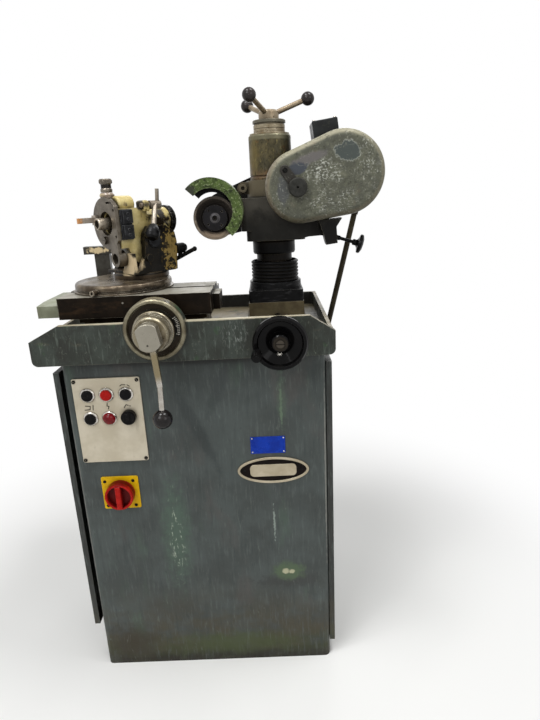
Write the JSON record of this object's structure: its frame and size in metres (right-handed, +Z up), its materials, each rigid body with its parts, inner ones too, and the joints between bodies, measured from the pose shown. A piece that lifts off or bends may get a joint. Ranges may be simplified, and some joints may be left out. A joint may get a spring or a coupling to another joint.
{
  "type": "drill bit sharpener",
  "caption": "Pedestal drill bit sharpener: sheet cabinet, tray with traversing table, swivelling tilting workhead with collet, column wheelhead with belt-driven cup grinding wheel.",
  "frame": {"origin": "middle of the cabinet footprint on the floor", "axes": "+X to the right along the front, +Y away from the operator, +Z up"},
  "size_m": [0.7232, 0.6005, 1.2843],
  "materials": {
    "cabinet_paint": "worn hammer paint",
    "tray_paint": "worn green-grey paint",
    "switchgear_grey": "matt",
    "panel_plate": "satin",
    "bezel_chrome": "bright",
    "black_plastic": "gloss",
    "red_plastic": "gloss",
    "yellow_plate": "satin",
    "plate_metal": "satin",
    "bright_steel": "machined",
    "lever_chrome": "bright",
    "dark_cast": "oily",
    "oily_steel": "oily",
    "black_paint": "satin",
    "cream_paint": "oily gloss",
    "worn_steel": "worn",
    "black_rubber": "matt",
    "olive_steel": "stained",
    "head_paint": "oily paint",
    "motor_paint": "satin",
    "cover_alu": "scratched",
    "abrasive": "rough",
    "green_paint": "chipped"
  },
  "bodies": {
    "frame": {"cabinet_shell": "cabinet_paint", "bed_tray": "tray_paint", "switchgear": "switchgear_grey", "control_panel": "panel_plate", "button_bezels": "bezel_chrome", "pilot_lamp": "red_plastic", "switch_plate": "yellow_plate", "front_plates": "plate_metal", "traverse_ring": "bright_steel", "slide_base": "dark_cast", "cross_base": "dark_cast", "stop_post": "dark_cast", "conduit": "black_paint"},
    "left_door": {"left_door": "cabinet_paint"},
    "right_door": {"right_door": "cabinet_paint"},
    "start_button": {"start_button": "black_plastic"},
    "stop_button": {"stop_button": "red_plastic"},
    "coolant_button": {"coolant_button": "black_plastic"},
    "jog_button": {"jog_button": "black_plastic"},
    "selector": {"selector_knob": "black_plastic"},
    "main_switch": {"main_switch_knob": "red_plastic"},
    "table": {"table": "oily_steel", "table_end_cover": "tray_paint"},
    "traverse": {"traverse_hub": "bright_steel", "traverse_lever": "lever_chrome", "lever_ball": "black_plastic"},
    "turntable": {"turntable": "oily_steel", "pedestal": "cream_paint", "tilt_nut": "black_paint"},
    "rear_lever": {"rear_clamp_lever": "black_paint"},
    "workhead": {"work_housing": "cream_paint", "face_plate": "worn_steel", "guide_blocks": "black_paint", "lip_rest": "worn_steel"},
    "work_spindle": {"work_spindle": "worn_steel"},
    "plunger": {"index_plunger": "worn_steel"},
    "work_lever": {"work_lever": "lever_chrome"},
    "handwheel": {"cross_handwheel": "black_plastic"},
    "grip": {"handwheel_grip": "black_plastic"},
    "cross_slide": {"cross_slide": "dark_cast", "column": "worn_steel", "bellows": "black_rubber"},
    "sleeve": {"column_sleeve": "olive_steel", "sleeve_cap": "olive_steel"},
    "star": {"star_handle": "worn_steel", "star_balls": "black_plastic"},
    "wheelhead": {"head_casting": "head_paint", "motor_body": "motor_paint", "front_belt": "black_rubber", "rear_belt": "black_rubber", "rear_guard": "black_paint", "belt_cover": "cover_alu", "wheel_guard": "green_paint"},
    "motor_shaft": {"motor_pulley": "worn_steel"},
    "counter": {"counter_shaft": "worn_steel"},
    "wheel": {"wheel_spindle": "worn_steel", "grinding_wheel": "abrasive"},
    "cover_knob": {"cover_knob": "black_plastic"},
    "tension_knob": {"tension_knob": "black_plastic"}
  },
  "joints": [
    {"name": "left_door_hinge", "type": "hinge", "parent": "frame", "child": "left_door", "pos_m": [-0.285, 0.214, 0.43], "axis": [0, 0, -1], "range_deg": [0, 100]},
    {"name": "right_door_hinge", "type": "hinge", "parent": "frame", "child": "right_door", "pos_m": [0.277, 0.214, 0.43], "axis": [0, 0, 1], "range_deg": [0, 95]},
    {"name": "start_press", "type": "slide", "parent": "frame", "child": "start_button", "axis": [0, 1, 0], "range_m": [0, 0.003], "stiffness_N_per_m": 400},
    {"name": "stop_press", "type": "slide", "parent": "frame", "child": "stop_button", "axis": [0, 1, 0], "range_m": [0, 0.003], "stiffness_N_per_m": 400},
    {"name": "coolant_press", "type": "slide", "parent": "frame", "child": "coolant_button", "axis": [0, 1, 0], "range_m": [0, 0.003], "stiffness_N_per_m": 400},
    {"name": "jog_press", "type": "slide", "parent": "frame", "child": "jog_button", "axis": [0, 1, 0], "range_m": [0, 0.003], "stiffness_N_per_m": 400},
    {"name": "selector_turn", "type": "hinge", "parent": "frame", "child": "selector", "pos_m": [-0.1417, -0.22, 0.6488], "axis": [0, -1, 0], "range_deg": [-45, 45]},
    {"name": "main_switch_turn", "type": "hinge", "parent": "frame", "child": "main_switch", "pos_m": [-0.181, -0.22, 0.47], "axis": [0, -1, 0], "range_deg": [-90, 0]},
    {"name": "table_slide", "type": "slide", "parent": "frame", "child": "table", "axis": [1, 0, 0], "range_m": [-0.035, 0.04]},
    {"name": "traverse_turn", "type": "hinge", "parent": "frame", "child": "traverse", "pos_m": [-0.062, -0.25, 0.838], "axis": [0, 1, 0], "range_deg": [-82, 93]},
    {"name": "turntable_swivel", "type": "hinge", "parent": "table", "child": "turntable", "pos_m": [-0.15, -0.095, 0.9], "axis": [0, 0, 1], "range_deg": [-20, 150]},
    {"name": "rear_lever_swing", "type": "hinge", "parent": "turntable", "child": "rear_lever", "pos_m": [-0.03191, -0.04338, 0.974], "axis": [-0.7071, -0.7071, 0], "range_deg": [-15, 30]},
    {"name": "workhead_tilt", "type": "hinge", "parent": "turntable", "child": "workhead", "pos_m": [-0.11323, -0.05823, 0.995], "axis": [-0.7071, 0.7071, 0], "range_deg": [0, 20]},
    {"name": "work_spindle_turn", "type": "hinge", "parent": "workhead", "child": "work_spindle", "pos_m": [-0.15, -0.095, 1.035], "axis": [-0.7071, -0.7071, 0], "continuous": true},
    {"name": "plunger_lift", "type": "slide", "parent": "workhead", "child": "plunger", "axis": [0, 0, 1], "range_m": [0, 0.006], "stiffness_N_per_m": 600},
    {"name": "work_lever_swing", "type": "hinge", "parent": "workhead", "child": "work_lever", "pos_m": [-0.07717, -0.08298, 1.068], "axis": [-0.7071, -0.7071, 0], "range_deg": [0, 45]},
    {"name": "cross_feed", "type": "slide", "parent": "frame", "child": "cross_slide", "axis": [0, 1, 0], "range_m": [-0.025, 0.025]},
    {"name": "handwheel_turn", "type": "hinge", "parent": "frame", "child": "handwheel", "pos_m": [0.178, -0.28, 0.813], "axis": [0, 1, 0], "range_deg": [-1801, 1801]},
    {"name": "grip_spin", "type": "hinge", "parent": "handwheel", "child": "grip", "pos_m": [0.134, -0.32, 0.799], "axis": [0, 1, 0], "continuous": true},
    {"name": "head_lift", "type": "slide", "parent": "cross_slide", "child": "sleeve", "axis": [0, 0, 1], "range_m": [-0.015, 0.03], "deforming": ["bellows"]},
    {"name": "star_turn", "type": "hinge", "parent": "sleeve", "child": "star", "pos_m": [0.176, 0.005, 1.25], "axis": [0, 0, 1], "range_deg": [-1081, 2161]},
    {"name": "wheelhead_swivel", "type": "hinge", "parent": "sleeve", "child": "wheelhead", "pos_m": [0.176, 0.005, 1.04], "axis": [0, 0, 1], "range_deg": [-8, 20]},
    {"name": "motor_spin", "type": "hinge", "parent": "wheelhead", "child": "motor_shaft", "pos_m": [0.324, -0.08, 1.118], "axis": [0, 1, 0], "continuous": true},
    {"name": "counter_spin", "type": "hinge", "parent": "wheelhead", "child": "counter", "pos_m": [0.24, -0.08, 1.09], "axis": [0, 1, 0], "continuous": true},
    {"name": "wheel_spin", "type": "hinge", "parent": "wheelhead", "child": "wheel", "pos_m": [0.058, -0.12, 1.037], "axis": [0, 1, 0], "continuous": true},
    {"name": "cover_knob_turn", "type": "hinge", "parent": "wheelhead", "child": "cover_knob", "pos_m": [0.228, -0.115, 1.089], "axis": [0, 1, 0], "continuous": true},
    {"name": "tension_turn", "type": "hinge", "parent": "wheelhead", "child": "tension_knob", "pos_m": [0.29, -0.062, 0.99], "axis": [0.943, -0.1489, -0.2978], "continuous": true}
  ],
  "couplings": [
    {"joint": "traverse_turn", "follows": "table_slide", "rad_per_m": 40},
    {"joint": "handwheel_turn", "follows": "cross_feed", "rad_per_m": 1256.6},
    {"joint": "star_turn", "follows": "head_lift", "rad_per_m": 1256.6},
    {"joint": "counter_spin", "follows": "motor_spin", "ratio": 1.4167},
    {"joint": "wheel_spin", "follows": "motor_spin", "ratio": 2.4201}
  ]
}
